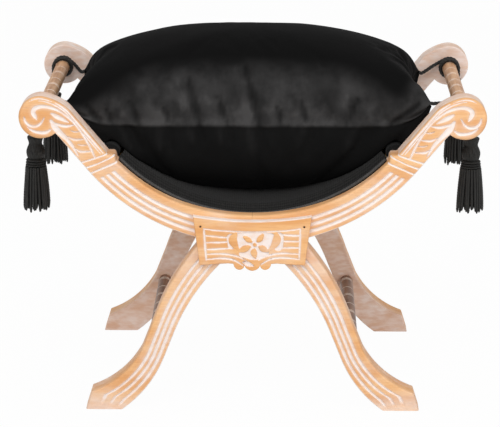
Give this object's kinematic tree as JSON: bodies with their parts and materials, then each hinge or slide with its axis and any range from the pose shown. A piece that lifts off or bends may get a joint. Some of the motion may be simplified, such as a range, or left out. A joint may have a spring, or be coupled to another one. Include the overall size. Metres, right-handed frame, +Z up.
{
  "type": "carved oak bench",
  "caption": "Low X-frame bench in carved limed oak with scrolled arms, turned handrails, a sling seat and a loose velvet cushion tied on with tasselled cords.",
  "frame": {"origin": "on the floor below the middle of the bench", "axes": "+X along the width, to the right seen from the front; -Y towards the front; +Z up"},
  "size_m": [0.7222, 0.4386, 0.5752],
  "materials": {
    "limed_oak": "limed, waxed",
    "turned_oak": "limed, waxed",
    "beech_tenon": "bare",
    "nail_steel": "dark",
    "webbing": "jute twill",
    "base_cloth": "hessian",
    "foam": "wadding",
    "seat_cloth": "short pile",
    "velvet": "velvet",
    "filling_fibre": "loose fibre",
    "black_trim": "twisted rayon"
  },
  "bodies": {
    "frame": {"front_left_arm": "limed_oak", "front_left_leg": "limed_oak", "front_left_leg_tenon": "beech_tenon", "front_left_plaque_nail": "nail_steel", "front_right_arm": "limed_oak", "front_right_leg": "limed_oak", "front_right_leg_tenon": "beech_tenon", "front_right_plaque_nail": "nail_steel", "rear_left_arm": "limed_oak", "rear_left_leg": "limed_oak", "rear_left_leg_tenon": "beech_tenon", "rear_left_plaque_nail": "nail_steel", "rear_right_arm": "limed_oak", "rear_right_leg": "limed_oak", "rear_right_leg_tenon": "beech_tenon", "rear_right_plaque_nail": "nail_steel", "front_plaque": "limed_oak", "front_rail_tenon": "beech_tenon", "front_braid": "black_trim", "rear_plaque": "limed_oak", "rear_rail_tenon": "beech_tenon", "rear_braid": "black_trim", "left_handrail": "turned_oak", "left_stretcher": "turned_oak", "left_seat_roll": "seat_cloth", "right_handrail": "turned_oak", "right_stretcher": "turned_oak", "right_seat_roll": "seat_cloth", "seat_strap_1": "webbing", "seat_strap_2": "webbing", "seat_strap_3": "webbing", "seat_strap_4": "webbing", "seat_strap_5": "webbing", "seat_base_cloth": "base_cloth", "seat_pad": "foam", "seat_cover": "seat_cloth", "front_left_tie_cord": "black_trim", "front_right_tie_cord": "black_trim", "rear_left_tie_cord": "black_trim", "rear_right_tie_cord": "black_trim", "front_left_knot": "black_trim", "front_right_knot": "black_trim", "rear_left_knot": "black_trim", "rear_right_knot": "black_trim"},
    "cushion": {"cushion_top_panel": "velvet", "cushion_bottom_panel": "velvet", "cushion_filling": "filling_fibre"},
    "front_left_tassel": {"front_left_tassel_head": "black_trim", "front_left_tassel_binding": "black_trim", "front_left_tassel_skirt": "black_trim"},
    "front_right_tassel": {"front_right_tassel_head": "black_trim", "front_right_tassel_binding": "black_trim", "front_right_tassel_skirt": "black_trim"},
    "rear_left_tassel": {"rear_left_tassel_head": "black_trim", "rear_left_tassel_binding": "black_trim", "rear_left_tassel_skirt": "black_trim"},
    "rear_right_tassel": {"rear_right_tassel_head": "black_trim", "rear_right_tassel_binding": "black_trim", "rear_right_tassel_skirt": "black_trim"}
  },
  "joints": [
    {"name": "cushion_lift", "type": "slide", "parent": "frame", "child": "cushion", "axis": [0, 0, 1], "range_m": [0, 0.02], "deforming": ["front_left_tie_cord", "front_right_tie_cord", "rear_left_tie_cord", "rear_right_tie_cord"]},
    {"name": "front_left_tassel_swing", "type": "hinge", "parent": "frame", "child": "front_left_tassel", "pos_m": [-0.33917, -0.1457, 0.45555], "axis": [0, 1, 0], "range_deg": [-25, 25]},
    {"name": "front_right_tassel_swing", "type": "hinge", "parent": "frame", "child": "front_right_tassel", "pos_m": [0.33917, -0.1457, 0.45555], "axis": [0, 1, 0], "range_deg": [-25, 25]},
    {"name": "rear_left_tassel_swing", "type": "hinge", "parent": "frame", "child": "rear_left_tassel", "pos_m": [-0.33917, 0.1457, 0.45555], "axis": [0, 1, 0], "range_deg": [-25, 25]},
    {"name": "rear_right_tassel_swing", "type": "hinge", "parent": "frame", "child": "rear_right_tassel", "pos_m": [0.33917, 0.1457, 0.45555], "axis": [0, 1, 0], "range_deg": [-25, 25]}
  ]
}
